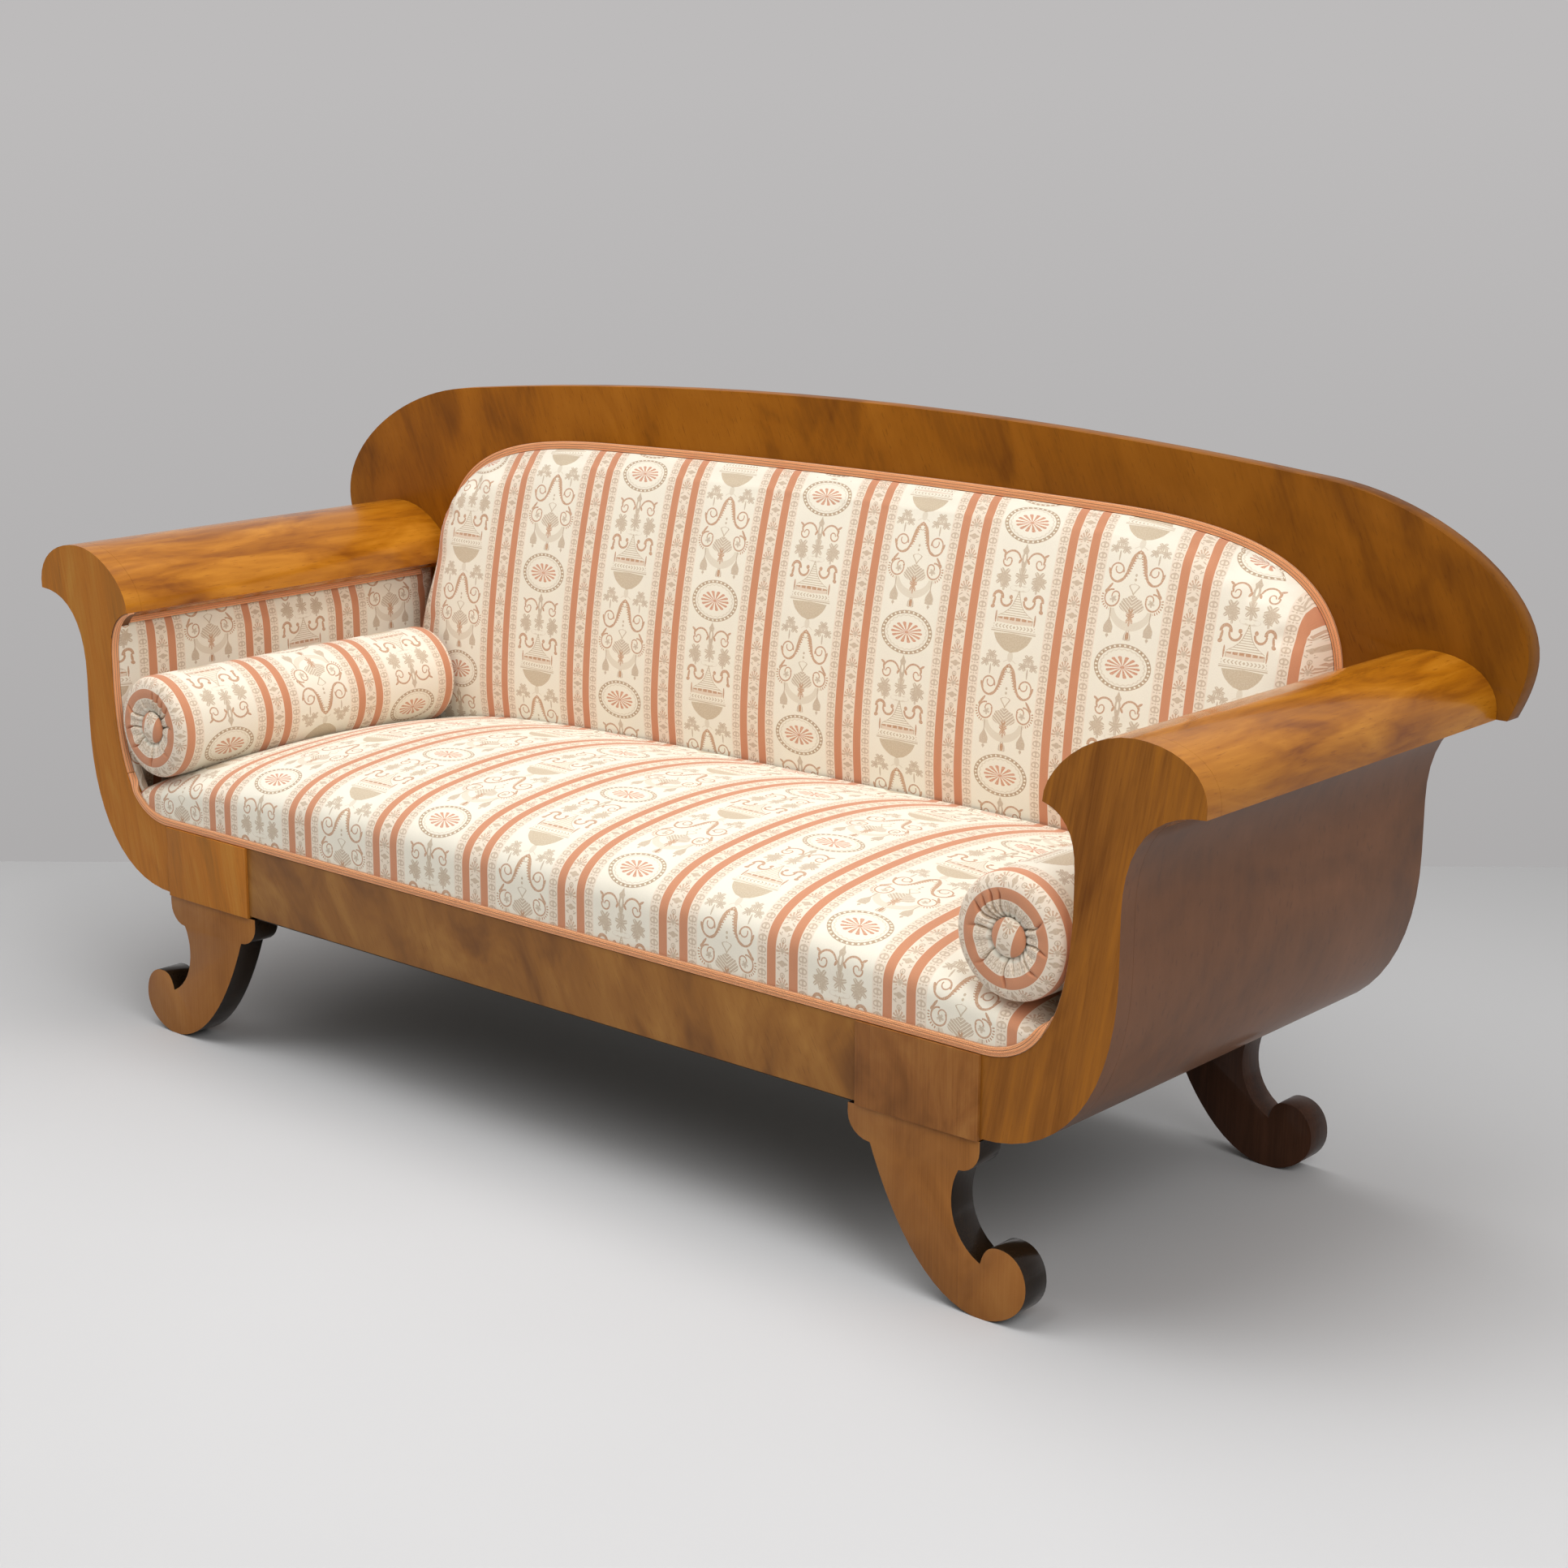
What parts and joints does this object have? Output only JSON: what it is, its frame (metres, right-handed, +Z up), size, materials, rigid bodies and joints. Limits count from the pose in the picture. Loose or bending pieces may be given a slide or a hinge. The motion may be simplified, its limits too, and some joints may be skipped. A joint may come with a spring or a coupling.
{
  "type": "scroll-arm settee",
  "caption": "Long upholstered settee with outward scroll arms, an arched veneered back, scroll feet, a sprung stuffed seat, striped cover, braid and loose round bolsters.",
  "frame": {"origin": "on the floor under the middle of the settee's width and depth", "axes": "+X along the width towards the right arm as seen from the front, +Y from the front towards the back, +Z up"},
  "size_m": [2.072, 0.6516, 0.921],
  "materials": {
    "face_veneer": "satin gloss shellac over upright veneer",
    "rail_veneer": "satin gloss shellac over mottled veneer",
    "roll_veneer": "satin gloss shellac over amber veneer",
    "side_veneer": "satin gloss shellac over dark red-brown veneer",
    "board_veneer": "satin gloss shellac over flame veneer",
    "rear_leg_wood": "dark stained and polished",
    "inner_wood": "bare sawn and planed wood",
    "cover": "woven cream cover with coral stripes and taupe motifs",
    "braid": "ribbed coral braid",
    "webbing": "plain natural jute",
    "lining": "plain dark cotton"
  },
  "bodies": {
    "frame": {"front_rail": "rail_veneer", "back_rail": "inner_wood", "cross_rail_right": "inner_wood", "cross_rail_left": "inner_wood", "side_rail_right": "inner_wood", "side_rail_left": "inner_wood", "arm_sill_right": "inner_wood", "arm_sill_left": "inner_wood", "leg_block_front_right": "face_veneer", "leg_block_front_left": "face_veneer", "leg_block_rear_right": "face_veneer", "leg_block_rear_left": "face_veneer", "leg_front_right": "face_veneer", "leg_front_left": "face_veneer", "leg_rear_right": "rear_leg_wood", "leg_rear_left": "rear_leg_wood", "arm_front_right": "face_veneer", "arm_front_left": "face_veneer", "arm_roll_right": "roll_veneer", "arm_roll_left": "roll_veneer", "arm_side_right": "side_veneer", "arm_side_left": "side_veneer", "arm_top_rail_right": "inner_wood", "arm_top_rail_left": "inner_wood", "arm_tack_rail_right": "inner_wood", "arm_tack_rail_left": "inner_wood", "back_board": "board_veneer", "back_upright": "inner_wood", "seat_webbing": "webbing", "seat_hessian": "webbing", "bottom_cloth": "lining", "seat_pad": "cover", "back_webbing": "webbing", "back_lining": "lining", "back_pad": "cover", "arm_pad_right": "cover", "arm_pad_left": "cover", "arm_webbing_right": "webbing", "arm_webbing_left": "webbing", "front_gimp": "braid", "arm_gimp_right": "braid", "arm_gimp_left": "braid", "roll_gimp_right": "braid", "roll_gimp_left": "braid", "back_gimp": "braid"},
    "left_bolster": {"bolster_left": "cover", "bolster_button_left_front": "cover", "bolster_button_left_rear": "cover"},
    "right_bolster": {"bolster_right": "cover", "bolster_button_right_front": "cover", "bolster_button_right_rear": "cover"}
  },
  "joints": [
    {"name": "left_bolster_lift", "type": "slide", "parent": "frame", "child": "left_bolster", "axis": [0.5, 0, 0.866], "range_m": [0, 0.35]},
    {"name": "right_bolster_lift", "type": "slide", "parent": "frame", "child": "right_bolster", "axis": [-0.5, 0, 0.866], "range_m": [0, 0.35]}
  ]
}
